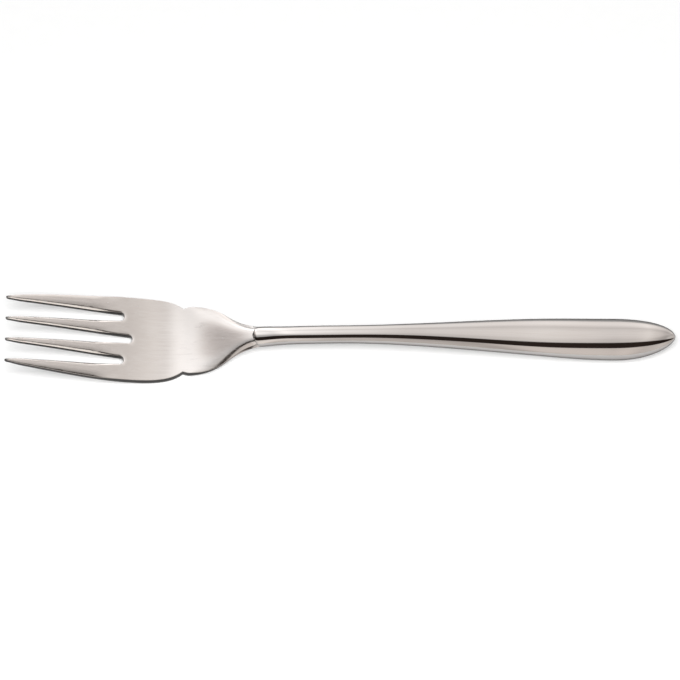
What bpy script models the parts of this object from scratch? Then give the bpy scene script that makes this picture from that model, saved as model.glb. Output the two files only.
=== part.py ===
"""Fish fork with a pressed four-tine head, cemented by its tang into a hollow two-half handle.

Stations run along the fork from the tine tips (0) to the end of the handle.
Every piece is shaped flat and straight along those stations, then pressed to the side profile of the fork.
The origin is on the table, under the middle of the fork: +X runs to the handle's end, +Z is up.
"""

from functools import cache
from math import cos, pi, radians, sin, sqrt

import bmesh
import bpy
import numpy as np
from mathutils import Vector
from mathutils.geometry import interpolate_bezier

MM = 0.001

# Lengths along the head, one after the other from the tine tips
TINE_LENGTH = 31.7 * MM
BLADE_LENGTH = 15.9 * MM
LOBE_LENGTH = 2.0 * MM
SWEEP_LENGTH = 16.1 * MM
LAP_LENGTH = 4.6 * MM
TANG_LENGTH = 30.0 * MM

# Lengths along the handle, one after the other from its nose
WAIST_LENGTH = 23.7 * MM
SWELL_LENGTH = 73.3 * MM
END_LENGTH = 17.3 * MM
NOSE_LENGTH = 2.4 * MM

# Widths of the head
HEAD_WIDTH = 24.3 * MM
NOTCH_WIDTH = 18.6 * MM
LOBE_WIDTH = 19.5 * MM
TANG_WIDTH = 2.4 * MM

# Tines and the slots between them
TINE_COUNT = 4
TIP_SPREAD = 18.5 * MM
TIP_WIDTH = 1.0 * MM
TIP_LENGTH = 1.1 * MM
SLOT_PITCH = 6.4 * MM
SLOT_WIDTH = 2.3 * MM
SLOT_CORNER = 0.95 * MM
MIDDLE_SLOT_EXTRA = 2.2 * MM

# Thickness of the head
TIP_THICKNESS = 1.0 * MM
HEAD_THICKNESS = 2.0 * MM
NECK_THICKNESS = 3.0 * MM
TANG_THICKNESS = 1.4 * MM
EDGE_ROUND = 0.4 * MM
TINE_CROWN = 0.28 * MM
NECK_CROWN = 0.9 * MM
DISH_DEPTH = 0.6 * MM

# Handle
NOSE_WIDTH = 5.65 * MM
WAIST_WIDTH = 4.95 * MM
WAIST_THICKNESS = 4.4 * MM
HANDLE_WIDTH = 11.75 * MM
HANDLE_THICKNESS = 7.4 * MM
END_FULLNESS = 2.15
END_POINT = 0.57
WALL = 0.8 * MM
CAVITY_END_SPACE = 6.0 * MM
CEMENT_MARGIN = 2.5 * MM

# Heights of the middle line above the table
TIP_HEIGHT = 9.86 * MM
ROOT_HEIGHT = 2.45 * MM
NOSE_HEIGHT = 4.28 * MM
ARCH_START_HEIGHT = 6.5 * MM
ARCH_MIDDLE_HEIGHT = 6.33 * MM
ARCH_END_HEIGHT = 4.88 * MM
END_HEIGHT = 5.05 * MM
REST_FLAT = 0.05 * MM

# Clearances
SEAT_GAP = 0.1 * MM

# Fineness of the facets
STATION_STEP = 2.0 * MM
PRESS_LINES = (0.0, 1.5 * MM, 2.3 * MM, 3.1 * MM, 3.9 * MM, 6.0 * MM, 8.4 * MM, 9.3 * MM, 10.3 * MM)
EDGE_POINTS = 10
ARC_POINTS = 4
SECTION_SIDES = 12

# Stations, from the tine tips
NOTCH_AT = TINE_LENGTH + BLADE_LENGTH
LOBE_AT = NOTCH_AT + LOBE_LENGTH
NOSE_AT = LOBE_AT + SWEEP_LENGTH
LAP_END = NOSE_AT + LAP_LENGTH
TANG_END = LAP_END + TANG_LENGTH
TANG_NECK_AT = LAP_END - LAP_LENGTH / 2
TANG_NECK_END = LAP_END + LAP_LENGTH / 2
WAIST_END = NOSE_AT + WAIST_LENGTH
WIDEST_AT = WAIST_END + SWELL_LENGTH
END_AT = WIDEST_AT + END_LENGTH
CAVITY_END = END_AT - CAVITY_END_SPACE
HEAD_REST_AT = TINE_LENGTH + 0.75 * BLADE_LENGTH
HANDLE_REST_AT = WIDEST_AT + END_LENGTH / 6


def smooth_step(start, end, at):
    """0 before start, 1 after end, with a smooth rise between them."""
    share = min(max((at - start) / (end - start), 0.0), 1.0)
    return share * share * (3 - 2 * share)


def smooth_curve(*knots):
    """A function of the station: the natural cubic spline through (station, value) knots."""
    at, value = np.array(knots).T
    step = np.diff(at)
    system = np.eye(len(at))
    load = np.zeros(len(at))
    for i in range(1, len(at) - 1):
        system[i, i - 1 : i + 2] = step[i - 1], 2 * (step[i - 1] + step[i]), step[i]
        load[i] = 6 * ((value[i + 1] - value[i]) / step[i] - (value[i] - value[i - 1]) / step[i - 1])
    bend = np.linalg.solve(system, load)

    def curve(station):
        i = int(np.clip(np.searchsorted(at, station) - 1, 0, len(step) - 1))
        left, right, h = station - at[i], at[i + 1] - station, step[i]
        cubic = (bend[i] * right**3 + bend[i + 1] * left**3) / (6 * h)
        first = (value[i] / h - bend[i] * h / 6) * right
        second = (value[i + 1] / h - bend[i + 1] * h / 6) * left
        return cubic + first + second

    return curve


def handle_width(station):
    """Outside width of the handle, before its ends are rounded off."""
    flare = (NOSE_WIDTH - WAIST_WIDTH) * (1 - smooth_step(NOSE_AT, NOSE_AT + WAIST_LENGTH / 2, station))
    return WAIST_WIDTH + flare + (HANDLE_WIDTH - WAIST_WIDTH) * smooth_step(WAIST_END, WIDEST_AT, station)


def handle_half_size(station):
    """Half the width and half the thickness of the handle's outside at a station."""
    swell = smooth_step(WAIST_END, WIDEST_AT, station)
    thickness = WAIST_THICKNESS + (HANDLE_THICKNESS - WAIST_THICKNESS) * swell
    ahead = max(station - WIDEST_AT, 0.0) / END_LENGTH
    nose = min(max(station - NOSE_AT, 0.0) / NOSE_LENGTH, 1.0)
    closing = max(1 - ahead**END_FULLNESS, 0.0) ** END_POINT * sqrt(1 - (1 - nose) ** 2)
    return handle_width(station) / 2 * closing, thickness / 2 * closing


# Side profile: the fork rests under its blade, and under the handle just past its widest part
spine = smooth_curve(
    (0.0, TIP_HEIGHT),
    (TINE_LENGTH, ROOT_HEIGHT),
    (HEAD_REST_AT, HEAD_THICKNESS / 2 - REST_FLAT),
    (NOSE_AT, NOSE_HEIGHT),
    (WAIST_END, ARCH_START_HEIGHT),
    (WAIST_END + SWELL_LENGTH / 3, ARCH_MIDDLE_HEIGHT),
    (WAIST_END + 0.75 * SWELL_LENGTH, ARCH_END_HEIGHT),
    (HANDLE_REST_AT, handle_half_size(HANDLE_REST_AT)[1] - REST_FLAT),
    (END_AT, END_HEIGHT),
)


def place(station, across, height):
    """A point of the fork from its station, its distance across and its height above the middle line."""
    return Vector((station - END_AT / 2, across, spine(station) + height))


def tine_tip(index):
    """Distance across of a tine's tip, from the +Y side."""
    return TIP_SPREAD * (0.5 - index / (TINE_COUNT - 1))


def slot_middle(index):
    """Distance across of the root of the slot after a tine, from the +Y side."""
    return SLOT_PITCH * ((TINE_COUNT - 2) / 2 - index)


def slot_depth(index):
    """Station of a slot's root: the slots nearer the middle run a little deeper."""
    outermost = max(abs(slot_middle(0)), SLOT_PITCH)
    return TINE_LENGTH + MIDDLE_SLOT_EXTRA * (1 - abs(slot_middle(index)) / outermost)


def tip_arc(index):
    """Round point of a tine, from its +Y side to its -Y side."""
    turns = [pi * i / (2 * ARC_POINTS) for i in range(2 * ARC_POINTS + 1)]
    half = TIP_WIDTH / 2
    return [(TIP_LENGTH * (1 - sin(turn)), tine_tip(index) + half * cos(turn)) for turn in turns]


def slot_root(index):
    """Round-cornered end of a slot, from its +Y wall to its -Y wall."""
    depth, middle = slot_depth(index), slot_middle(index)
    flat = SLOT_WIDTH / 2 - SLOT_CORNER
    turns = [pi / 2 * i / ARC_POINTS for i in range(ARC_POINTS + 1)]
    upper = [(depth - SLOT_CORNER * (1 - sin(t)), flat + SLOT_CORNER * cos(t)) for t in turns]
    lower = [(station, -across) for station, across in reversed(upper)]
    return [(station, middle + across) for station, across in upper + lower]


@cache
def outer_edge():
    """One long edge of the head, from the tip of its outer tine to the end of the lap in the handle.
    Each stretch is a Bezier curve whose handles are shares of the stretch's own length and drop."""
    tip = Vector((TIP_LENGTH, (TIP_SPREAD + TIP_WIDTH) / 2))
    root = Vector((TINE_LENGTH, HEAD_WIDTH / 2))
    notch = Vector((NOTCH_AT, NOTCH_WIDTH / 2))
    crest = Vector((LOBE_AT, LOBE_WIDTH / 2))
    neck = Vector((LAP_END, handle_width(LAP_END) / 2))
    stretches = (
        (tip, (0.45, 0.74), (0.2, 0.0), root),
        (root, (0.56, 0.0), (0.19, 0.83), notch),
        (notch, (0.3, 0.12), (0.5, 0.0), crest),
        (crest, (0.5, 0.0), (0.53, 0.09), neck),
    )
    points = []
    for start, leave, arrive, end in stretches:
        way = end - start
        first = start + Vector((way.x * leave[0], way.y * leave[1]))
        second = end - Vector((way.x * arrive[0], way.y * arrive[1]))
        points += interpolate_bezier(start, first, second, end, EDGE_POINTS)[:-1]
    return [(point.x, point.y) for point in points] + [(neck.x, neck.y)]


def head_outline():
    """The flat blank of the head and its tang, anticlockwise from the end of the tang."""
    edge = outer_edge()
    tang = TANG_WIDTH / 2
    points = [(TANG_END, tang), (LAP_END, tang)] + edge[:0:-1]
    for index in range(TINE_COUNT):
        points += tip_arc(index)
        if index < TINE_COUNT - 1:
            points += slot_root(index)
    points += [(station, -across) for station, across in edge[1:]]
    return points + [(LAP_END, -tang), (TANG_END, -tang)]


def slice_along(bm, axis, position):
    """Cuts a line of edges across the faces, square to an axis."""
    normal = Vector((0, 0, 0))
    normal[axis] = 1
    everything = bm.verts[:] + bm.edges[:] + bm.faces[:]
    bmesh.ops.bisect_plane(bm, geom=everything, plane_co=normal * position, plane_no=normal)


def press_head(station, across, level):
    """Height of a point of the blank above the middle line. level is -0.5 on its underside, 0.5 on its top."""
    bowl = smooth_step(TINE_LENGTH / 2, NOTCH_AT, station) * (1 - smooth_step(LOBE_AT, NOSE_AT, station))
    dish = DISH_DEPTH * bowl * (2 * across / HEAD_WIDTH) ** 2
    ridge = smooth_step(NOTCH_AT, NOSE_AT - LAP_LENGTH, station)
    ridge *= 1 - smooth_step(NOSE_AT, LAP_END, station)
    thinning = 2 * NECK_CROWN * ridge * min(abs(across) / head_half_width(station), 1.0) ** 2
    return level * (head_thickness(station) - thinning) + dish - max(level, 0.0) * tine_fall(station, across)


def head_half_width(station):
    """Half the width of the head's outline at a station."""
    stations, widths = zip(*outer_edge())
    return np.interp(station, stations, widths)


def tine_edges(index, station):
    """Distances across of the two edges of a tine at a station, from the +Y side."""
    share = station / TINE_LENGTH
    outside = head_half_width(station)
    upper = tine_tip(index) + TIP_WIDTH / 2
    upper += share * (slot_middle(index - 1) - SLOT_WIDTH / 2 - upper)
    lower = tine_tip(index) - TIP_WIDTH / 2
    lower += share * (slot_middle(index) + SLOT_WIDTH / 2 - lower)
    return outside if index == 0 else upper, -outside if index == TINE_COUNT - 1 else lower


def tine_fall(station, across):
    """How far a tine's upper face falls away beside the tine's own middle line."""
    if station > TINE_LENGTH:
        return 0.0
    edges = [tine_edges(index, station) for index in range(TINE_COUNT)]
    aside = min(abs(2 * across - upper - lower) / (upper - lower) for upper, lower in edges)
    return 2 * TINE_CROWN * (1 - smooth_step(0.6, 1.0, station / TINE_LENGTH)) * min(aside, 1.0) ** 2


def head_thickness(station):
    """Thickness of the head and tang along the fork."""
    if station > TANG_NECK_AT:
        thin = smooth_step(TANG_NECK_AT, TANG_NECK_END, station)
        return NECK_THICKNESS + (TANG_THICKNESS - NECK_THICKNESS) * thin
    tine = TIP_THICKNESS + (HEAD_THICKNESS - TIP_THICKNESS) * min(station / TINE_LENGTH, 1.0)
    return tine + (NECK_THICKNESS - HEAD_THICKNESS) * smooth_step(NOTCH_AT, NOSE_AT, station)


def edge_draw(station, level):
    """How far the neck's edges are drawn in, so that at the lap they run into the round of the handle."""
    share = smooth_step((LOBE_AT + NOSE_AT) / 2, LAP_END, station)
    lean = 2 * level * head_thickness(station) / WAIST_THICKNESS
    return 1 - share * (1 - sqrt(max(1 - lean**2, 0.0)))


def grind_flat(bm):
    """Takes off what is below the table and closes the flat that this leaves."""
    cut = bmesh.ops.bisect_plane(
        bm,
        geom=bm.verts[:] + bm.edges[:] + bm.faces[:],
        plane_co=(0, 0, 0),
        plane_no=(0, 0, 1),
        clear_inner=True,
    )
    rim = [item for item in cut["geom_cut"] if isinstance(item, bmesh.types.BMEdge)]
    if rim:
        bmesh.ops.edgeloop_fill(bm, edges=rim)


def finish(bm, name, material):
    """Makes the object of a finished mesh."""
    bmesh.ops.recalc_face_normals(bm, faces=bm.faces[:])
    mesh = bpy.data.meshes.new(name)
    bm.to_mesh(mesh)
    bm.free()
    mesh.shade_smooth()
    mesh.set_sharp_from_angle(angle=radians(35))
    obj = bpy.data.objects.new(name, mesh)
    bpy.context.scene.collection.objects.link(obj)
    if material:
        mesh.materials.append(material)
    else:
        obj.hide_render = True
        obj.display_type = "WIRE"
    return obj


def make_head(material):
    """The head: blanked with its slots, edges broken, then pressed to its bowl and side profile."""
    bm = bmesh.new()
    corners = [bm.verts.new((station, across, -HEAD_THICKNESS / 2)) for station, across in head_outline()]
    blank = bm.faces.new(corners)
    raised = bmesh.ops.extrude_face_region(bm, geom=[blank], use_keep_orig=True)["geom"]
    lifted = [item for item in raised if isinstance(item, bmesh.types.BMVert)]
    bmesh.ops.translate(bm, verts=lifted, vec=(0, 0, HEAD_THICKNESS))
    bmesh.ops.recalc_face_normals(bm, faces=bm.faces[:])
    rims = [edge for edge in bm.edges if edge.verts[0].co.z == edge.verts[1].co.z]
    bmesh.ops.bevel(bm, geom=rims, offset=EDGE_ROUND, segments=2, profile=0.5, affect="EDGES", material=-1)
    for index in range(1, round(TANG_END / STATION_STEP)):
        slice_along(bm, 0, index * STATION_STEP)
    for line in PRESS_LINES:
        for side in {line, -line}:
            slice_along(bm, 1, side)
    slice_along(bm, 2, 0.0)
    for vert in bm.verts:
        station, across, level = vert.co.x, vert.co.y, vert.co.z / HEAD_THICKNESS
        vert.co = place(station, across * edge_draw(station, level), press_head(station, across, level))
    grind_flat(bm)
    return finish(bm, "fork_head", material)


def handle_stations():
    """Stations of the handle's outside, closer together over the nose and the end."""
    nose = [NOSE_AT + NOSE_LENGTH * (1 - cos(pi / 2 * i / 6)) for i in range(7)]
    count = round((WIDEST_AT - nose[-1]) / (2 * STATION_STEP))
    body = [nose[-1] + (WIDEST_AT - nose[-1]) * (i + 1) / count for i in range(count)]
    end = [WIDEST_AT + END_LENGTH * sin(pi / 2 * (i + 1) / 12) for i in range(12)]
    return nose + body + end


def loft(sections, name, material):
    """Wraps a grid round a row of closed sections, and closes its two ends."""
    bm = bmesh.new()
    rows, sides = len(sections) - 1, len(sections[0])
    bmesh.ops.create_grid(bm, x_segments=rows, y_segments=sides, size=1)
    for vert in bm.verts:
        row = round((vert.co.x + 1) / 2 * rows)
        side = round((vert.co.y + 1) / 2 * sides) % sides
        vert.co = sections[row][side]
    bmesh.ops.remove_doubles(bm, verts=bm.verts[:], dist=SEAT_GAP / 100)
    open_ends = [edge for edge in bm.edges if edge.is_boundary]
    if open_ends:
        bmesh.ops.holes_fill(bm, edges=open_ends)
    bmesh.ops.recalc_face_normals(bm, faces=bm.faces[:])
    grind_flat(bm)
    return finish(bm, name, material)


def half_section(station, side):
    """Outside of a handle half at a station, an arc closed by the flat of the seam. side is 1 or -1."""
    across, high = handle_half_size(station)
    seam = SEAT_GAP / 2
    turns = [pi * i / SECTION_SIDES for i in range(SECTION_SIDES + 1)]
    return [place(station, across * cos(t), side * (seam + max(high - seam, 0.0) * sin(t))) for t in turns]


def oval_section(station, across, high):
    """Closed oval of the given half sizes at a station."""
    turns = [pi * i / SECTION_SIDES for i in range(2 * SECTION_SIDES)]
    return [place(station, across * cos(t), high * sin(t)) for t in turns]


def box_section(station, across, high):
    """Closed rectangle of the given half sizes at a station."""
    corners = ((across, -high), (across, high), (-across, high), (-across, -high))
    return [place(station, y, z) for y, z in corners]


def even_stations(start, end):
    """Stations from start to end, about one step apart."""
    count = max(round((end - start) / STATION_STEP), 1)
    return [start + (end - start) * i / count for i in range(count + 1)]


def make_cavity():
    """The hollow of the handle, one wall inside its outside."""
    sections = []
    for station in even_stations(LAP_END, CAVITY_END)[:-1]:
        across, high = handle_half_size(station)
        ahead = max(station - WIDEST_AT, 0.0) / (CAVITY_END - WIDEST_AT)
        closing = sqrt(max(1 - ahead**2, 0.0))
        sections.append(oval_section(station, (across - WALL) * closing, (high - WALL) * closing))
    return loft(sections, "handle_cavity", None)


def make_mouth():
    """The mouth of the handle, which lets the lap of the neck in between the two halves."""
    high = NECK_THICKNESS / 2 + SEAT_GAP
    stations = even_stations(NOSE_AT - NOSE_LENGTH, LAP_END + SEAT_GAP)
    return loft([box_section(station, NOSE_WIDTH, high) for station in stations], "handle_mouth", None)


def make_half(name, side, material, cutters):
    """One pressed half of the handle, hollowed and notched for the neck."""
    half = loft([half_section(station, side) for station in handle_stations()], name, material)
    cut_away(half, cutters)
    return half


def make_cement(material):
    """The cement that grips the tang in the front of the handle."""
    sections = []
    for station in even_stations(TANG_NECK_END, TANG_END + CEMENT_MARGIN):
        across, high = handle_half_size(station)
        sections.append(oval_section(station, across - WALL - SEAT_GAP, high - WALL - SEAT_GAP))
    cement = loft(sections, "tang_cement", material)
    across, high = TANG_WIDTH / 2 + SEAT_GAP, TANG_THICKNESS / 2 + SEAT_GAP
    stations = even_stations(LAP_END, TANG_END + SEAT_GAP)
    cut_away(cement, [loft([box_section(s, across, high) for s in stations], "tang_socket", None)])
    return cement


def cut_away(obj, cutters):
    """Cuts the cutters out of an object."""
    for cutter in cutters:
        modifier = obj.modifiers.new("cut " + cutter.name, "BOOLEAN")
        modifier.operation = "DIFFERENCE"
        modifier.object = cutter


def make_material(name, colour, roughness, metallic):
    material = bpy.data.materials.new(name)
    material.use_nodes = True
    shader = material.node_tree.nodes["Principled BSDF"]
    shader.inputs["Base Color"].default_value = (*colour, 1)
    shader.inputs["Roughness"].default_value = roughness
    shader.inputs["Metallic"].default_value = metallic
    return material


def main():
    for obj in list(bpy.data.objects):
        bpy.data.objects.remove(obj)
    satin = make_material("satin_steel", (0.70, 0.67, 0.65), 0.32, 1.0)
    polished = make_material("polished_steel", (0.72, 0.69, 0.67), 0.08, 1.0)
    cement = make_material("cement", (0.55, 0.52, 0.47), 0.9, 0.0)
    fork = bpy.data.objects.new("fish_fork", None)
    bpy.context.scene.collection.objects.link(fork)
    cutters = [make_cavity(), make_mouth()]
    pieces = [
        make_head(satin),
        make_half("handle_upper_half", 1, polished, cutters),
        make_half("handle_lower_half", -1, polished, cutters),
        make_cement(cement),
    ]
    for piece in pieces:
        piece.parent = fork


main()
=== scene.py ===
from math import cos, pi, radians, sin, sqrt

import bmesh
import bpy
import numpy as np
from mathutils import Matrix, Vector
from mathutils.geometry import interpolate_bezier


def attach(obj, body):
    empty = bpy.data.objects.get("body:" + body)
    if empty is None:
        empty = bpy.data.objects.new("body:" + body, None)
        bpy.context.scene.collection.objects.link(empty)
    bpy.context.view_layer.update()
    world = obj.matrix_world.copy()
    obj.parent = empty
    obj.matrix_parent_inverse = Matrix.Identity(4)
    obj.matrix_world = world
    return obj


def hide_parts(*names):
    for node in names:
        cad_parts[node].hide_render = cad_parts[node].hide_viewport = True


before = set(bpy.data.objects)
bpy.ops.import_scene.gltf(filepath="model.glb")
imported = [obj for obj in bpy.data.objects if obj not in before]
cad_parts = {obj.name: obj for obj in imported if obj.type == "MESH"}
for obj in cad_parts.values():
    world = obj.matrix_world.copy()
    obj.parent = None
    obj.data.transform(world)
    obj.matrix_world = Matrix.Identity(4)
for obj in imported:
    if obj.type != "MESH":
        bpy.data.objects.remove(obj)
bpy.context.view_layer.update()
mm = 0.001
print("frame loaded with", len(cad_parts), "nodes")


# the fork's side view, in mm: stations run from the tine tips to the end of the handle
fork = {
    "length": 180.0,
    "tineEnd": 31.7,
    "notch": 47.6,
    "lobe": 49.6,
    "nose": 65.7,
    "lapEnd": 70.3,
    "waistEnd": 89.4,
    "widest": 162.7,
    "middleLine": [
        (0.0, 9.79),
        (14.0, 6.78),
        (31.7, 2.45),
        (43.625, 0.95),
        (65.7, 4.28),
        (89.4, 6.5),
        (113.833, 6.33),
        (144.375, 4.88),
        (165.583, 3.611),
        (180.0, 5.05),
    ],
}


def smoothStep(start, end, at):
    share = min(max((at - start) / (end - start), 0.0), 1.0)
    return share * share * (3 - 2 * share)


# natural spline through the knots of the middle line, with no bend at its two ends
def splineThrough(knots):
    at, value = np.array(knots).T
    step = np.diff(at)
    system = np.eye(len(at))
    load = np.zeros(len(at))
    for i in range(1, len(at) - 1):
        system[i, i - 1 : i + 2] = step[i - 1], 2 * (step[i - 1] + step[i]), step[i]
        load[i] = 6 * ((value[i + 1] - value[i]) / step[i] - (value[i] - value[i - 1]) / step[i - 1])
    bend = np.linalg.solve(system, load)

    def height(station):
        i = int(np.clip(np.searchsorted(at, station) - 1, 0, len(step) - 1))
        left, right, h = station - at[i], at[i + 1] - station, step[i]
        cubic = (bend[i] * right**3 + bend[i + 1] * left**3) / (6 * h)
        first = (value[i] / h - bend[i] * h / 6) * right
        second = (value[i + 1] / h - bend[i + 1] * h / 6) * left
        return cubic + first + second

    return height


middleLine = splineThrough(fork["middleLine"])


# a point of the fork in metres, from mm along, across and above the middle line
def place(station, across, above):
    return Vector((station - fork["length"] / 2, across, middleLine(station) + above)) * mm


def addNode(tree, kind, inputs=None, **settings):
    made = tree.nodes.new("ShaderNode" + kind)
    for name, value in settings.items():
        setattr(made, name, value)
    for name, value in (inputs or {}).items():
        if isinstance(value, bpy.types.NodeSocket):
            tree.links.new(value, made.inputs[name])
        else:
            made.inputs[name].default_value = value
    return made


def addRamp(tree, factor, stops):
    ramp = addNode(tree, "ValToRGB", {"Fac": factor})
    elements = ramp.color_ramp.elements
    while len(elements) < len(stops):
        elements.new(1.0)
    for element, (position, colour) in zip(elements, stops):
        element.position = position
        element.color = (*colour, 1.0)
    return ramp.outputs["Color"]


def mapRange(tree, value, source, target=(0.0, 1.0)):
    limits = {"From Min": source[0], "From Max": source[1], "To Min": target[0], "To Max": target[1]}
    return addNode(tree, "MapRange", {"Value": value, **limits}).outputs["Result"]


def mixColour(tree, factor, first, second, blend="MIX"):
    inputs = {"Factor": factor, "A": first, "B": second}
    return addNode(tree, "Mix", inputs, data_type="RGBA", blend_type=blend).outputs["Result"]


def readAttribute(tree, name):
    return addNode(tree, "Attribute", attribute_name=name).outputs["Fac"]


def calculate(tree, operation, *values):
    return addNode(tree, "Math", dict(enumerate(values)), operation=operation).outputs[0]


def addNoise(tree, coords, scale, detail):
    return addNode(tree, "TexNoise", {"Vector": coords, "Scale": scale, "Detail": detail}).outputs["Fac"]


# strength is a share, depth is in mm
def addBump(tree, height, strength, depth):
    bump = addNode(tree, "Bump", {"Height": height, "Strength": strength, "Distance": depth * mm})
    tree.links.new(bump.outputs["Normal"], tree.nodes["Principled BSDF"].inputs["Normal"])


def newMaterial(name):
    material = bpy.data.materials.new(name)
    material.use_nodes = True
    tree = material.node_tree
    coords = addNode(tree, "TexCoord").outputs["Object"]
    return material, tree, tree.nodes["Principled BSDF"], coords


# noise drawn out along the fork: fine lines across it, long ones along it
def drawnNoise(tree, coords, detail, along, across, turn=0.0):
    mapping = {"Vector": coords, "Rotation": (0, 0, radians(turn)), "Scale": (along, across, across)}
    mapped = addNode(tree, "Mapping", mapping).outputs["Vector"]
    return addNoise(tree, mapped, 1.0, detail)


satinSteel = {
    "slot": "satin_steel",
    "dark": (0.523, 0.498, 0.484),
    "light": (0.57, 0.549, 0.538),
    "rim": (0.035, 0.032, 0.030),      # painted shade on the walls and tips, standing for dark reflections
    "highlight": (0.92, 0.895, 0.875),   # painted highlight on the flats along the gaps of the tines
    "edgeTint": 0.8,
    "roughness": (0.19, 0.245),
    "wornRoughness": 0.20,
    "grain": (70, 2600),               # lines per metre, along and across
    "cloud": 120,
    "scratch": (45, 1500, 9),          # along, across, turn in degrees
    "bump": 0.06,
}

polishedSteel = {
    "slot": "polished_steel",
    "dark": (0.945, 0.90, 0.875),
    "light": (0.995, 0.96, 0.94),
    "edgeTint": 0.28,
    "filmTint": 0.56,                  # a thin film that darkens the outline, where it is seen edge-on
    "filmIndex": 1.028,
    "roughness": (0.045, 0.075),
    "grain": (30, 3200),
    "cloud": 60,
    "scratch": (25, 1800, 4),
    "bump": 0.012,
}


# shared by both steels: how fine each noise is, and which part of it shows
steelGrain = {
    "grainDetail": 3.0,
    "scratchDetail": 1.0,
    "cloudDetail": 2.0,
    "tone": (0.7, 1.3),        # grain and cloud together, dark to light
    "dull": (0.3, 0.7),
    "scratch": (0.66, 0.74),
    "scratchDulling": 0.05,
    "depth": 0.05,             # mm
}


# a lengthwise grain, fine scratches and soft clouding. The satin also has painted shade on its walls and
# tips, a painted highlight on its flats, and worn parts with a roughness of their own
def steelMaterial(name, finish):
    material, tree, shader, coords = newMaterial(name)
    grain = drawnNoise(tree, coords, steelGrain["grainDetail"], *finish["grain"])
    scratch = drawnNoise(tree, coords, steelGrain["scratchDetail"], *finish["scratch"])
    cloud = addNoise(tree, coords, finish["cloud"], steelGrain["cloudDetail"])

    tone = calculate(tree, "ADD", grain, cloud)
    toneShare = mapRange(tree, tone, steelGrain["tone"])
    colour = addRamp(tree, toneShare, [(0.0, finish["dark"]), (1.0, finish["light"])])
    if "rim" in finish:
        # painted highlight on the flats, then painted shade on the walls and tips
        colour = mixColour(tree, readAttribute(tree, "paintedHighlight"), colour, (*finish["highlight"], 1.0))
        colour = mixColour(tree, readAttribute(tree, "paintedShade"), colour, (*finish["rim"], 1.0))
    tree.links.new(colour, shader.inputs["Base Color"])

    dull = mapRange(tree, grain, steelGrain["dull"], finish["roughness"])
    lines = mapRange(tree, scratch, steelGrain["scratch"], (0.0, steelGrain["scratchDulling"]))
    rough = calculate(tree, "ADD", dull, lines)
    if "wornRoughness" in finish:
        rubbed = {"Factor": readAttribute(tree, "wear"), "A": rough, "B": finish["wornRoughness"]}
        rough = addNode(tree, "Mix", rubbed, data_type="FLOAT").outputs["Result"]
    tree.links.new(rough, shader.inputs["Roughness"])

    relief = calculate(tree, "SUBTRACT", grain, lines)
    addBump(tree, relief, finish["bump"], steelGrain["depth"])
    shader.inputs["Metallic"].default_value = 1.0
    shader.inputs["Specular Tint"].default_value = (*[finish["edgeTint"]] * 3, 1.0)
    if "filmTint" in finish:
        shader.inputs["Coat Weight"].default_value = 1.0
        shader.inputs["Coat IOR"].default_value = finish["filmIndex"]
        shader.inputs["Coat Tint"].default_value = (*[finish["filmTint"]] * 3, 1.0)
    return material


meshing = {
    "sharpAngle": 50,      # degrees
    "mergeWithin": 0.001,  # mm
}


# writes the mesh, shades it and hangs it on the frame in place of its CAD nodes
def finishPiece(bm, name, material, slot, *nodes):
    bmesh.ops.recalc_face_normals(bm, faces=bm.faces[:])
    mesh = bpy.data.meshes.new(name)
    bm.to_mesh(mesh)
    bm.free()
    mesh.shade_smooth()
    mesh.set_sharp_from_angle(angle=radians(meshing["sharpAngle"]))
    mesh.materials.append(material)
    piece = bpy.data.objects.new(name, mesh)
    bpy.context.scene.collection.objects.link(piece)
    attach(piece, "root")
    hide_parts(*nodes)
    print(name, "made with", len(mesh.polygons), "faces")


# what lies below the table top is ground away, and the flat is closed
def grindFlat(bm):
    everything = bm.verts[:] + bm.edges[:] + bm.faces[:]
    tableTop = {"plane_co": (0, 0, 0), "plane_no": (0, 0, 1)}
    cut = bmesh.ops.bisect_plane(bm, geom=everything, **tableTop, clear_inner=True)
    rim = [item for item in cut["geom_cut"] if isinstance(item, bmesh.types.BMEdge)]
    if rim:
        bmesh.ops.edgeloop_fill(bm, edges=rim)


handle = {
    "noseWidth": 5.65,
    "waistWidth": 4.95,
    "waistThickness": 4.4,
    "width": 11.75,
    "thickness": 7.4,
    "noseAt": 66.1,
    "noseRound": 0.7,               # length of the nose's round edge
    "noseBow": 1.7,                 # how far the nose's sides lie behind its middle
    "bowReach": 8.0,                # length over which that fades
    "endAt": 179.55,
    "endLift": 0.6,                 # how far the end curls up
    "liftFrom": 166.0,
    "endFullness": 2.15,
    "endPoint": 0.57,
    "seam": 0.01,                   # half the gap between the two halves
    "shoulder": 0.0215,             # how much flatter than an oval the waist's shoulders are
    "shoulderAt": 25.5,             # their lean from upright, in degrees
    "shoulderEnd": (105.0, 135.0),  # stations over which they fade
    "fullness": [                   # how much fuller than an even oval the upper half is
        (66.0, 0.0),
        (72.0, -0.03),
        (79.0, -0.12),
        (105.0, -0.08),
        (132.0, -0.12),
        (146.0, -0.08),
        (153.0, 0.0),
        (160.0, 0.07),
        (170.0, 0.10),
        (180.0, 0.06),
    ],
    "noseShare": 0.12,              # shares of the mesh's stations where the nose ends and the end begins
    "endShare": 0.7,
    "stations": 170,
    "sides": 64,
}


def handleWidth(station):
    flareEnd = (fork["nose"] + fork["waistEnd"]) / 2
    flare = (handle["noseWidth"] - handle["waistWidth"]) * (1 - smoothStep(fork["nose"], flareEnd, station))
    swell = smoothStep(fork["waistEnd"], fork["widest"], station)
    return handle["waistWidth"] + flare + (handle["width"] - handle["waistWidth"]) * swell


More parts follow.
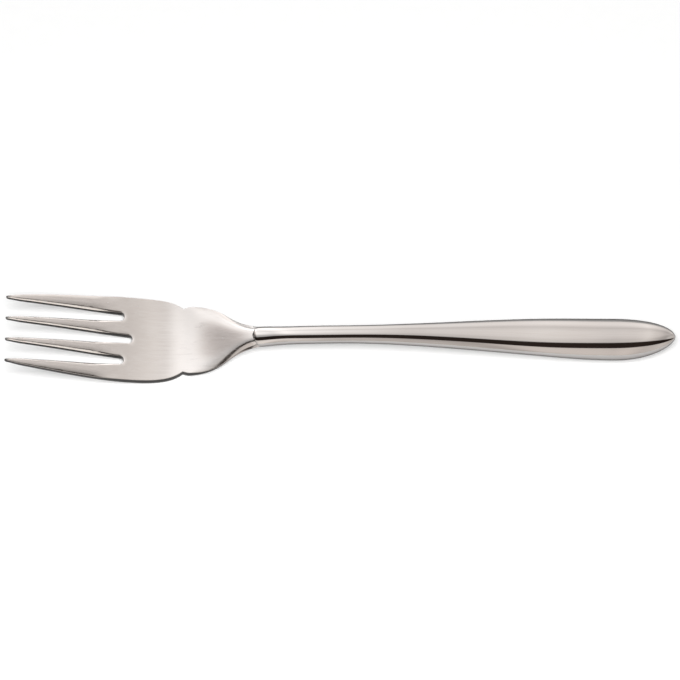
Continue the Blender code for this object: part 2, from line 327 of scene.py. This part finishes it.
def handleHalfSize(station):
    swell = smoothStep(fork["waistEnd"], fork["widest"], station)
    thickness = handle["waistThickness"] + (handle["thickness"] - handle["waistThickness"]) * swell
    ahead = max(station - fork["widest"], 0.0) / (handle["endAt"] - fork["widest"])
    nose = min(max(station - handle["noseAt"], 0.0) / handle["noseRound"], 1.0)
    closing = max(1 - ahead ** handle["endFullness"], 0.0) ** handle["endPoint"] * sqrt(1 - (1 - nose) ** 2)
    return handleWidth(station) / 2 * closing, thickness / 2 * closing


# stations of the handle, closer together over the nose and the end
def handleStation(share):
    noseShare, endShare = handle["noseShare"], handle["endShare"]
    if share < noseShare:
        return handle["noseAt"] + handle["noseRound"] * (1 - cos(pi / 2 * share / noseShare))
    if share > endShare:
        turn = pi / 2 * (share - endShare) / (1 - endShare)
        return fork["widest"] + (handle["endAt"] - fork["widest"]) * sin(turn)
    start = handle["noseAt"] + handle["noseRound"]
    return start + (fork["widest"] - start) * (share - noseShare) / (endShare - noseShare)


fullness = splineThrough(handle["fullness"])


# the flatter shoulders: how far a point of the oval moves outwards and along it
def shoulderShift(station, turn):
    half = radians(handle["shoulderAt"])
    phase = pi * (abs(turn) - half) / half
    if abs(phase) > pi:
        return 0.0, 0.0
    depth = handle["shoulder"] * (1 - smoothStep(*handle["shoulderEnd"], station))
    outwards = -depth * cos(phase) * (1 + cos(phase)) / 2
    along = depth * (1 + 2 * cos(phase)) / 2 * sin(phase) * pi / half
    return outwards, along if turn > 0 else -along


# one pressed half: a grid wrapped round its oval and back along the seam. side is 1 for the upper half
def makeHandleHalf(name, side, material, node):
    bm = bmesh.new()
    sides = handle["sides"] + 1
    bmesh.ops.create_grid(bm, x_segments=handle["stations"], y_segments=sides, size=1)
    for vert in bm.verts:
        station = handleStation((vert.co.x + 1) / 2)
        turn = pi * (round((vert.co.y + 1) / 2 * sides) % sides) / handle["sides"] - pi / 2
        across, high = handleHalfSize(station)
        if side > 0:
            high *= 1 + fullness(station)
        reach = sqrt((across * sin(turn)) ** 2 + (high * cos(turn)) ** 2) or 1.0
        rise = high * cos(turn) / reach
        above = handle["seam"] + max(high - handle["seam"], 0.0) * rise
        curl = max(station - handle["liftFrom"], 0.0) / (handle["endAt"] - handle["liftFrom"])
        lift = handle["endLift"] * curl**2
        bow = handle["noseBow"] * (1 - rise)
        bow *= 1 - smoothStep(0.0, handle["bowReach"], station - handle["noseAt"])
        aside = across * across * sin(turn) / reach
        if side > 0:
            outwards, along = shoulderShift(station, turn)
            closing = 2 * across / handleWidth(station)
            aside += (outwards * sin(turn) + along * cos(turn)) * closing
            above += (outwards * cos(turn) - along * sin(turn)) * closing
        vert.co = place(station + bow, aside, side * above + lift)
    bmesh.ops.remove_doubles(bm, verts=bm.verts[:], dist=meshing["mergeWithin"] * mm)
    bmesh.ops.recalc_face_normals(bm, faces=bm.faces[:])
    if side < 0:
        grindFlat(bm)
    finishPiece(bm, name, material, polishedSteel["slot"], node)


head = {
    "width": 24.3,
    "notchWidth": 18.6,
    "lobeWidth": 19.5,
    "tangWidth": 2.4,
    "tangEnd": 100.3,
    "tangNeck": 2.3,           # half the length over which the neck thins to the tang
    "tines": 4,
    "tipSpread": 18.5,
    "tipWidth": 1.0,
    "tipLength": 1.1,
    "tipStart": 0.3,
    "slotPitch": 6.4,
    "slotWidth": 2.3,
    "slotCorner": 0.95,
    "middleSlotExtra": 2.2,
    "tipThickness": 1.35,
    "thinPower": 0.7,          # the tines thin faster towards their tips
    "pointThinning": 0.15,     # the tips are ground to a point
    "pointNarrowing": 0.35,
    "pointReach": 4.5,
    "thickness": 2.0,
    "neckThickness": 3.0,
    "tangThickness": 1.4,
    "edgeRound": 0.12,
    "edgeSegments": 4,
    "tineSlope": 0.47,         # slope of a tine's round face at its edges
    "tineFade": (0.72, 0.98),  # shares of the tines' length over which their shape ends
    "facet": 0.5,              # flat drawn along both sides of each gap
    "facetTaper": 0.2,         # how much narrower it is at the tip
    "facetSlope": 0.38,
    "facetRound": 0.05,        # half the width of the flat's soft edge
    "tipFall": 0.42,           # the tips are rounded off
    "tipReach": 1.3,
    "tipPower": 1.5,
    "rootFall": 0.2,           # fall of the blade's edge round a slot's root
    "rootReach": 0.8,
    "rootFrom": (0.7, 0.97),   # shares of the tines' length over which it begins
    "neckCrown": 0.95,
    "crownPower": 3.5,
    "edgeFall": 0.22,          # the neck's upper face rolls over towards its edges
    "edgePower": 6,
    "dish": 0.6,
    "edgePoints": 28,
    "arcPoints": 8,
    "grid": 0.4,
    "gridMerge": 0.02,         # a cut this near a point goes through it
    "facetMerge": 0.01,
}


def tineTip(index):
    return head["tipSpread"] * (0.5 - index / (head["tines"] - 1))


def slotMiddle(index):
    return head["slotPitch"] * ((head["tines"] - 2) / 2 - index)


# one long edge of the head, tip to lap: smooth stretches with handles as shares of each stretch
def outerEdge():
    tip = Vector((head["tipLength"], (head["tipSpread"] + head["tipWidth"]) / 2))
    root = Vector((fork["tineEnd"], head["width"] / 2))
    notch = Vector((fork["notch"], head["notchWidth"] / 2))
    crest = Vector((fork["lobe"], head["lobeWidth"] / 2))
    neck = Vector((fork["lapEnd"], handleWidth(fork["lapEnd"]) / 2))
    stretches = [
        (tip, (0.45, 0.74), (0.2, 0.0), root),
        (root, (0.56, 0.0), (0.19, 0.83), notch),
        (notch, (0.3, 0.12), (0.5, 0.0), crest),
        (crest, (0.5, 0.0), (0.53, 0.09), neck),
    ]
    points = []
    for start, leave, arrive, end in stretches:
        way = end - start
        first = start + Vector((way.x * leave[0], way.y * leave[1]))
        second = end - Vector((way.x * arrive[0], way.y * arrive[1]))
        points += interpolate_bezier(start, first, second, end, head["edgePoints"])[:-1]
    return points + [neck]


def tipArc(index):
    turns = [pi * i / (2 * head["arcPoints"]) for i in range(2 * head["arcPoints"] + 1)]
    return [
        Vector((
            head["tipLength"] - (head["tipLength"] - head["tipStart"]) * sin(t),
            tineTip(index) + head["tipWidth"] / 2 * cos(t),
        ))
        for t in turns
    ]


# the slots nearer the middle run a little deeper
def slotDepth(index):
    outermost = max(abs(slotMiddle(0)), head["slotPitch"])
    return fork["tineEnd"] + head["middleSlotExtra"] * (1 - abs(slotMiddle(index)) / outermost)


def slotRoot(index):
    depth = slotDepth(index)
    middle = slotMiddle(index)
    corner, flat = head["slotCorner"], head["slotWidth"] / 2 - head["slotCorner"]
    turns = [pi / 2 * i / head["arcPoints"] for i in range(head["arcPoints"] + 1)]
    upper = [Vector((depth - corner * (1 - sin(t)), middle + flat + corner * cos(t))) for t in turns]
    lower = [Vector((point.x, 2 * middle - point.y)) for point in reversed(upper)]
    return upper + lower


edgeLine = outerEdge()
edgeStations = [point.x for point in edgeLine]
edgeHalfWidths = [point.y for point in edgeLine]


def headThickness(station):
    neck, tang = head["neckThickness"], head["tangThickness"]
    thinAt, thinEnd = fork["lapEnd"] - head["tangNeck"], fork["lapEnd"] + head["tangNeck"]
    if station > thinAt:
        return neck + (tang - neck) * smoothStep(thinAt, thinEnd, station)
    along = min(station / fork["tineEnd"], 1.0) ** head["thinPower"]
    blade = head["tipThickness"] + (head["thickness"] - head["tipThickness"]) * along
    blade -= head["pointThinning"] * (1 - smoothStep(0.0, head["pointReach"], station))
    return blade + (neck - head["thickness"]) * smoothStep(fork["notch"], fork["nose"], station)


# the two edges of a tine at a share of its length, from the +Y side
def tineEdges(index, share):
    tip, half = tineTip(index), head["tipWidth"] / 2
    upper = tip + half + share * (slotMiddle(index - 1) - head["slotWidth"] / 2 - tip - half)
    lower = tip - half + share * (slotMiddle(index) + head["slotWidth"] / 2 - tip + half)
    outside = np.interp(share * fork["tineEnd"], edgeStations, edgeHalfWidths)
    if index == 0:
        upper = outside
    if index == head["tines"] - 1:
        lower = -outside
    return upper, lower


def facetWidth(share):
    return head["facet"] * (1 - head["facetTaper"] + head["facetTaper"] * share)


# the width of a point's tine, its share of the way to that tine's edges, and how far it is onto a flat
def tineAt(station, across):
    share = station / fork["tineEnd"]
    edges = [tineEdges(index, share) for index in range(head["tines"])]
    away = [abs(2 * across - upper - lower) / (upper - lower) for upper, lower in edges]
    index = int(np.argmin(away))
    upper, lower = edges[index]
    inside = [facetWidth(share)]
    if index > 0:
        inside.append(upper - across)
    if index < head["tines"] - 1:
        inside.append(across - lower)
    return upper - lower, min(away[index], 1.0), facetWidth(share) - max(min(inside), 0.0)


# tines keep their shape up to the roots of the slots
def tineShare(station):
    return 1 - smoothStep(*head["tineFade"], station / fork["tineEnd"])


# how far the upper face has fallen towards the edges of a tine
def tineFall(station, across):
    width, away, onFlat = tineAt(station, across)
    return (head["tineSlope"] * width / 4 * away**2 + head["facetSlope"] * onFlat) * tineShare(station)


# how far a point moves in towards the middle of its tine, near the tip
def pointShift(station, across):
    middles = [sum(tineEdges(index, station / fork["tineEnd"])) / 2 for index in range(head["tines"])]
    middle = min(middles, key=lambda at: abs(at - across))
    return (middle - across) * head["pointNarrowing"] * (1 - smoothStep(0.0, head["pointReach"], station))


# how far the upper face has fallen towards the tip
def tipFall(station):
    return head["tipFall"] * max(1 - station / head["tipReach"], 0.0) ** head["tipPower"]


# how far it has fallen towards the round root of a slot
def rootFall(station, across):
    half = head["slotWidth"] / 2
    fall = 0.0
    for index in range(head["tines"] - 1):
        ahead = max(station - slotDepth(index) + half, 0.0)
        away = max(sqrt(ahead**2 + (across - slotMiddle(index)) ** 2) - half, 0.0)
        fall += head["rootFall"] * max(1 - away / head["rootReach"], 0.0) ** 2
    return fall * smoothStep(*head["rootFrom"], station / fork["tineEnd"])


# height that the press gives a point of the blank: level is -0.5 on its underside, 0.5 on its top
def pressHead(station, across, level):
    bowl = smoothStep(fork["tineEnd"] / 2, fork["notch"], station)
    bowl *= 1 - smoothStep(fork["lobe"], fork["nose"], station)
    dish = head["dish"] * bowl * (2 * across / head["width"]) ** 2
    lap = fork["lapEnd"] - fork["nose"]
    ridge = smoothStep(fork["notch"], fork["nose"] - lap, station)
    ridge *= 1 - smoothStep(fork["nose"], fork["lapEnd"], station)
    halfWidth = np.interp(station, edgeStations, edgeHalfWidths)
    aside = min(abs(across) / halfWidth, 1.0)
    thinning = 2 * head["neckCrown"] * ridge * aside ** head["crownPower"]
    fall = 0.0
    if station < fork["notch"] and level > 0:
        fall = tineFall(station, across) + rootFall(station, across)
    elif level > 0:
        rolled = smoothStep(fork["lobe"], fork["lobe"] + lap, station)
        rolled *= 1 - smoothStep(fork["nose"], fork["lapEnd"], station)
        fall = head["edgeFall"] * rolled * aside ** head["edgePower"]
    tip = tipFall(station) * (level + 0.5)
    return level * (headThickness(station) - thinning) + dish - 2 * level * fall - tip


# the neck's edges are drawn in, so that they run into the round of the handle
def edgeDraw(station, level):
    share = smoothStep((fork["lobe"] + fork["nose"]) / 2, fork["lapEnd"], station)
    lean = 2 * level * headThickness(station) / handle["waistThickness"]
    return 1 - share * (1 - sqrt(max(1 - lean**2, 0.0)))


def sliceAlong(bm, axis, position):
    normal = Vector((0, 0, 0))
    normal[axis] = 1
    everything = bm.verts[:] + bm.edges[:] + bm.faces[:]
    cut = {"plane_co": normal * position, "plane_no": normal, "dist": head["gridMerge"]}
    bmesh.ops.bisect_plane(bm, geom=everything, **cut)


# two cuts along each side of each gap, so that the flat there begins with a crisp line
def sliceFacets(bm):
    for index in range(head["tines"]):
        for side in (0, 1):
            if (index, side) in ((0, 0), (head["tines"] - 1, 1)):
                continue
            inward = 2 * side - 1
            for extra in (-head["facetRound"], head["facetRound"]):
                start = tineEdges(index, 0.0)[side] + inward * (facetWidth(0.0) + extra)
                end = tineEdges(index, 1.0)[side] + inward * (facetWidth(1.0) + extra)
                faces = []
                for face in bm.faces:
                    middle = face.calc_center_median()
                    upper, lower = tineEdges(index, middle.x / fork["tineEnd"])
                    if middle.x < fork["tineEnd"] and lower < middle.y < upper:
                        faces.append(face)
                edges = {edge for face in faces for edge in face.edges}
                verts = {vert for face in faces for vert in face.verts}
                normal = Vector((start - end, fork["tineEnd"], 0)).normalized()
                cut = {"plane_co": (0, start, 0), "plane_no": normal, "dist": head["facetMerge"]}
                bmesh.ops.bisect_plane(bm, geom=[*verts, *edges, *faces], **cut)


# finish of the head, with painted shade on its walls and tips and a painted highlight on its flats. Levels
# run from -0.5 on its underside to 0.5 on its top
headMarks = {
    "wornBelow": 0.49,               # level
    "tipWear": 0.7,
    "tipWearReach": (1.0, 7.0),      # stations
    "wallShadeEnd": (0.445, 0.475),      # levels where the painted shade of the wall gives way to the face
    "rootShade": 0.03,               # how much higher the painted shade reaches round the roots of the slots
    "rootFallFrom": (0.02, 0.1),     # fall of the face that counts as a root
    "neckShadeLift": 0.7,               # the painted shade on the neck's wall is lighter, all but its foot
    "neckShadeLiftFrom": (55.0, 63.0),  # stations
    "neckFoot": (-0.46, -0.36),      # levels
    # painted shade on the tips
    "tipShade": 0.8,
    "tipShadeReach": (0.5, 1.8),     # stations
    "highlightFrom": (0.0, 0.1),       # mm onto a flat, where the painted highlight begins
}


def wornShare(station, level):
    tip = headMarks["tipWear"] * (1 - smoothStep(*headMarks["tipWearReach"], station))
    return max(float(abs(level) < headMarks["wornBelow"]), tip)


# painted shade: dark walls standing for dark reflections, reaching higher round the slots' roots, lighter
# on the neck's wall, and dark at the tips
def paintedShadeShare(station, across, level):
    root = headMarks["rootShade"] * smoothStep(*headMarks["rootFallFrom"], rootFall(station, across))
    start, end = headMarks["wallShadeEnd"]
    shadeLift = smoothStep(*headMarks["neckShadeLiftFrom"], station) * smoothStep(*headMarks["neckFoot"], level)
    wall = (1 - smoothStep(start + root, end + root, abs(level))) * (1 - headMarks["neckShadeLift"] * shadeLift)
    tip = headMarks["tipShade"] * (1 - smoothStep(*headMarks["tipShadeReach"], station))
    return max(wall, tip)


# painted highlight on the flats beside the gaps of the tines
def paintedHighlightShare(station, across):
    onFlat = tineAt(station, across)[2]
    return smoothStep(*headMarks["highlightFrom"], onFlat) * tineShare(station)


# blanked from its outline, edges rounded, sliced fine and pressed to its bowl and side view
def makeHead(material):
    tang = head["tangWidth"] / 2
    outline = [Vector((head["tangEnd"], tang)), Vector((fork["lapEnd"], tang))] + edgeLine[:0:-1]
    for index in range(head["tines"]):
        outline += tipArc(index)
        if index < head["tines"] - 1:
            outline += slotRoot(index)
    outline += [Vector((point.x, -point.y)) for point in edgeLine[1:]]
    outline += [Vector((fork["lapEnd"], -tang)), Vector((head["tangEnd"], -tang))]

    bm = bmesh.new()
    blank = bm.faces.new([bm.verts.new((point.x, point.y, -head["thickness"] / 2)) for point in outline])
    raised = bmesh.ops.extrude_face_region(bm, geom=[blank], use_keep_orig=True)["geom"]
    lifted = [item for item in raised if isinstance(item, bmesh.types.BMVert)]
    bmesh.ops.translate(bm, verts=lifted, vec=(0, 0, head["thickness"]))
    bmesh.ops.recalc_face_normals(bm, faces=bm.faces[:])
    rims = [edge for edge in bm.edges if edge.verts[0].co.z == edge.verts[1].co.z]
    bmesh.ops.bevel(
        bm,
        geom=rims,
        offset=head["edgeRound"],
        segments=head["edgeSegments"],
        profile=0.5,
        affect="EDGES",
        material=-1,
    )
    for i in range(1, round((fork["lapEnd"] + head["tangNeck"]) / head["grid"])):
        sliceAlong(bm, 0, i * head["grid"])
    for i in range(round(head["width"] / 2 / head["grid"])):
        for side in {i, -i}:
            sliceAlong(bm, 1, side * head["grid"])
    sliceAlong(bm, 2, 0.0)
    sliceFacets(bm)

    # worn roughness, painted shade and painted highlight, kept on the points
    wear = bm.verts.layers.float.new("wear")
    paintedShade = bm.verts.layers.float.new("paintedShade")
    paintedHighlight = bm.verts.layers.float.new("paintedHighlight")
    for vert in bm.verts:
        station, across, level = vert.co.x, vert.co.y, vert.co.z / head["thickness"]
        vert[wear] = wornShare(station, level)
        vert[paintedShade] = paintedShadeShare(station, across, level)
        if level > 0:
            vert[paintedHighlight] = paintedHighlightShare(station, across)
        height = pressHead(station, across, level)
        if station < head["pointReach"]:
            across += pointShift(station, across)
        vert.co = place(station, across * edgeDraw(station, level), height)
    grindFlat(bm)
    finishPiece(bm, "forkHead", material, satinSteel["slot"], "fork_head")


satin = steelMaterial("satinSteel", satinSteel)
polished = steelMaterial("polishedSteel", polishedSteel)
makeHead(satin)
makeHandleHalf("handleUpper", 1, polished, "handle_upper_half")
makeHandleHalf("handleLower", -1, polished, "handle_lower_half")


tangCement = {
    "dark": (0.46, 0.43, 0.38),
    "light": (0.60, 0.57, 0.52),
    "tone": (0.3, 0.7),
    "grain": 900,
    "detail": 5.0,
    "roughness": (0.8, 0.95),
    "bump": 0.4,
    "depth": 0.2,   # mm
}


# gritty filler around the tang, on the CAD node as it is
def cementMaterial():
    material, tree, shader, coords = newMaterial("tangCement")
    grit = addNoise(tree, coords, tangCement["grain"], tangCement["detail"])
    low, high = tangCement["tone"]
    colour = addRamp(tree, grit, [(low, tangCement["dark"]), (high, tangCement["light"])])
    dull = mapRange(tree, grit, (0.0, 1.0), tangCement["roughness"])
    tree.links.new(colour, shader.inputs["Base Color"])
    tree.links.new(dull, shader.inputs["Roughness"])
    addBump(tree, grit, tangCement["bump"], tangCement["depth"])
    return material


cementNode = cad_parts["tang_cement"]
cementNode.data.materials.clear()
cementNode.data.materials.append(cementMaterial())
print("materials set")


floor = {
    "size": 6.0,    # metres
    "cells": 4,
    "below": 0.02,  # mm under the fork
    "light": (0.93, 0.93, 0.925),
    "dark": (0.915, 0.915, 0.91),
    "tone": (0.3, 0.7),
    "fibre": 300.0,
    "detail": 3.0,
    "glow": 0.34,
}


def makeFloor():
    bm = bmesh.new()
    bmesh.ops.create_grid(bm, x_segments=floor["cells"], y_segments=floor["cells"], size=floor["size"] / 2)
    bmesh.ops.translate(bm, verts=bm.verts[:], vec=(0, 0, -floor["below"] * mm))
    mesh = bpy.data.meshes.new("floor")
    bm.to_mesh(mesh)
    bm.free()
    material, tree, shader, coords = newMaterial("paleFloor")
    fibre = addNoise(tree, coords, floor["fibre"], floor["detail"])
    low, high = floor["tone"]
    colour = addRamp(tree, fibre, [(low, floor["dark"]), (high, floor["light"])])
    tree.links.new(colour, shader.inputs["Base Color"])
    shader.inputs["Roughness"].default_value = 1.0
    shader.inputs["Specular IOR Level"].default_value = 0.0
    ray = addNode(tree, "LightPath").outputs
    mirrored = calculate(tree, "MAXIMUM", ray["Is Glossy Ray"], ray["Is Transmission Ray"])
    seen = calculate(tree, "MAXIMUM", ray["Is Camera Ray"], mirrored)
    share = calculate(tree, "MULTIPLY", seen, floor["glow"])
    glow = addNode(tree, "Emission", {"Color": (1.0, 1.0, 1.0, 1.0), "Strength": 1.0}).outputs[0]
    mixed = addNode(tree, "MixShader", {0: share, 1: shader.outputs[0], 2: glow}).outputs[0]
    tree.links.new(mixed, tree.nodes["Material Output"].inputs["Surface"])
    mesh.materials.append(material)
    piece = bpy.data.objects.new("floor", mesh)
    bpy.context.scene.collection.objects.link(piece)


# the studio as the steel mirrors it. Lean is the angle from overhead towards the camera's side, in degrees,
# and the other stops run from -1 at the tines' end to 1 at the handle's
studio = {
    "leanStops": [
        (-180, (0.25, 0.242, 0.233)),
        (-95, (0.40, 0.392, 0.383)),
        (-88, (0.88, 0.872, 0.866)),
        (-75, (0.88, 0.872, 0.866)),
        (-62, (0.76, 0.752, 0.744)),
        (-48, (0.53, 0.522, 0.515)),
        (-30, (0.595, 0.587, 0.579)),
        (0, (0.517, 0.508, 0.50)),
        (11, (0.475, 0.467, 0.458)),
        (13.2, (0.018, 0.013, 0.011)),
        (36.6, (0.018, 0.013, 0.011)),
        (39.4, (0.50, 0.477, 0.456)),
        (60, (0.546, 0.519, 0.498)),
        (88, (0.569, 0.542, 0.518)),
        (100, (0.29, 0.283, 0.275)),
        (180, (0.25, 0.242, 0.233)),
    ],
    "sideStops": [
        (-1.0, (0.60, 0.60, 0.60)),
        (-0.85, (0.30, 0.30, 0.30)),
        (-0.66, (0.10, 0.10, 0.10)),
        (-0.5, (0.40, 0.385, 0.375)),
        (-0.42, (0.505, 0.468, 0.453)),
        (-0.39, (0.59, 0.55, 0.534)),
        (-0.36, (0.89, 0.862, 0.85)),
        (-0.33, (1.0, 1.0, 1.0)),
        (-0.28, (0.965, 0.975, 0.985)),
        (-0.21, (0.77, 0.772, 0.778)),
        (-0.14, (1.0, 1.0, 1.0)),
        (-0.1, (0.82, 0.82, 0.82)),
        (-0.03, (0.64, 0.63, 0.623)),
        (0.0, (0.565, 0.552, 0.544)),
        (0.06, (0.59, 0.573, 0.562)),
        (0.13, (0.66, 0.642, 0.627)),
        (0.2, (0.58, 0.56, 0.543)),
        (0.29, (0.515, 0.496, 0.481)),
        (0.37, (0.46, 0.443, 0.43)),
        (0.45, (0.43, 0.414, 0.402)),
        (0.6, (0.50, 0.487, 0.475)),
        (1.0, (0.48, 0.467, 0.455)),
    ],
    "frontStops": [
        (-1.0, (0.60, 0.60, 0.60)),
        (-0.8, (0.20, 0.20, 0.20)),
        (-0.45, (0.43, 0.43, 0.43)),
        (-0.14, (0.70, 0.693, 0.685)),
        (-0.03, (0.385, 0.377, 0.37)),
        (0.0, (0.345, 0.336, 0.33)),
        (0.04, (0.52, 0.505, 0.494)),
        (0.1, (0.56, 0.543, 0.528)),
        (0.2, (0.46, 0.45, 0.44)),
        (0.3, (0.47, 0.465, 0.46)),
        (0.45, (0.52, 0.515, 0.51)),
        (1.0, (0.40, 0.39, 0.38)),
    ],
    "frontFrom": (36, 39),     # leans over which the side tones change to the front ones
    "screenStops": [
        (-0.95, 1.0),
        (-0.7, 0.3),
        (-0.45, 0.2),
        (-0.35, 0.28),
        (-0.25, 0.48),
        (-0.19, 0.48),
        (-0.14, 0.565),
        (-0.08, 0.72),
        (-0.02, 0.88),
        (0.06, 0.90),
        (0.2, 1.0),
    ],
    "rightStops": [(0.12, 1.0), (0.2, 0.9), (0.33, 0.78), (0.42, 0.82), (0.55, 1.0)],
    "screenTurn": 0.8,         # both dark screens stand askew
    "strength": 3.6,
    "lampPower": 14.9,
    "lampAt": (0.0, -0.32, 1.0),
    "lampSize": 0.55,
}


def leanRamp(tree, lean, stops):
    share = mapRange(tree, lean, (-pi, pi))
    return addRamp(tree, share, [((angle + 180) / 360, colour) for angle, colour in stops])


def sideRamp(tree, side, stops):
    share = mapRange(tree, side, (-1.0, 1.0))
    return addRamp(tree, share, [((x + 1) / 2, colour) for x, colour in stops])


def askewScreen(tree, ray, turn, stops):
    behind = calculate(tree, "MAXIMUM", ray["Y"], 0.0)
    askew = calculate(tree, "MULTIPLY_ADD", behind, turn, ray["X"])
    return sideRamp(tree, askew, [(x, [grey] * 3) for x, grey in stops])


def makeStudio():
    world = bpy.data.worlds.new("studio")
    world.use_nodes = True
    bpy.context.scene.world = world
    tree = world.node_tree
    ray = addNode(tree, "SeparateXYZ", {"Vector": addNode(tree, "TexCoord").outputs["Generated"]}).outputs
    near = calculate(tree, "MULTIPLY", ray["Y"], -1.0)
    lean = calculate(tree, "ARCTAN2", near, ray["Z"])
    roof = leanRamp(tree, lean, studio["leanStops"])
    back = sideRamp(tree, ray["X"], studio["sideStops"])
    front = sideRamp(tree, ray["X"], studio["frontStops"])
    turned = leanRamp(tree, lean, [(angle, [grey] * 3) for grey, angle in enumerate(studio["frontFrom"])])
    left = askewScreen(tree, ray, studio["screenTurn"], studio["screenStops"])
    right = askewScreen(tree, ray, -studio["screenTurn"], studio["rightStops"])
    screens = mixColour(tree, 1.0, left, right, "MULTIPLY")
    screened = mixColour(tree, 1.0, back, screens, "MULTIPLY")
    side = mixColour(tree, turned, screened, front)
    glow = mixColour(tree, 1.0, roof, side, "MULTIPLY")
    background = tree.nodes["Background"]
    tree.links.new(glow, background.inputs["Color"])
    background.inputs["Strength"].default_value = studio["strength"]
    world.cycles_visibility.diffuse = False    # the softbox alone lights the floor

    lamp = bpy.data.lights.new("softbox", "AREA")
    lamp.energy = studio["lampPower"]
    lamp.size = studio["lampSize"]
    lampPiece = bpy.data.objects.new("softbox", lamp)
    lampPiece.location = studio["lampAt"]
    lampPiece.rotation_euler = (-Vector(studio["lampAt"])).to_track_quat("-Z", "Y").to_euler()
    lampPiece.visible_glossy = False
    bpy.context.scene.collection.objects.link(lampPiece)


# the photograph's view: angles in degrees, the origin's place in pixels of the square picture
view = {
    "elevation": 65.145,
    "azimuth": -0.073,
    "roll": 0.237,
    "distance": 1.6,    # metres
    "pixelsPerMetre": 3722.4,
    "originAt": (340.97, 344.51),
    "picture": 680,
    "sensor": 36.0,     # mm
    "clipStart": 0.05,  # metres
}


def makeCamera():
    azimuth, elevation, roll = (radians(view[name]) for name in ("azimuth", "elevation", "roll"))
    towards = Vector((sin(azimuth) * cos(elevation), -cos(azimuth) * cos(elevation), sin(elevation)))
    level = Vector((cos(azimuth), sin(azimuth), 0))
    upright = towards.cross(level)
    right = level * cos(roll) + upright * sin(roll)
    up = upright * cos(roll) - level * sin(roll)
    middle = view["picture"] / 2
    aside = (middle - view["originAt"][0]) / view["pixelsPerMetre"]
    above = (view["originAt"][1] - middle) / view["pixelsPerMetre"]
    camera = bpy.data.cameras.new("camera")
    camera.sensor_width = view["sensor"]
    camera.lens = view["pixelsPerMetre"] * view["distance"] * camera.sensor_width / view["picture"]
    camera.clip_start = view["clipStart"]
    cameraPiece = bpy.data.objects.new("camera", camera)
    bpy.context.scene.collection.objects.link(cameraPiece)
    standsAt = Matrix.Translation(towards * view["distance"] + right * aside + up * above)
    cameraPiece.matrix_world = standsAt @ Matrix((right, up, towards)).transposed().to_4x4()
    bpy.context.scene.camera = cameraPiece


makeFloor()
makeStudio()
makeCamera()
bpy.context.scene.view_settings.view_transform = "Standard"
print("floor, light and camera set")
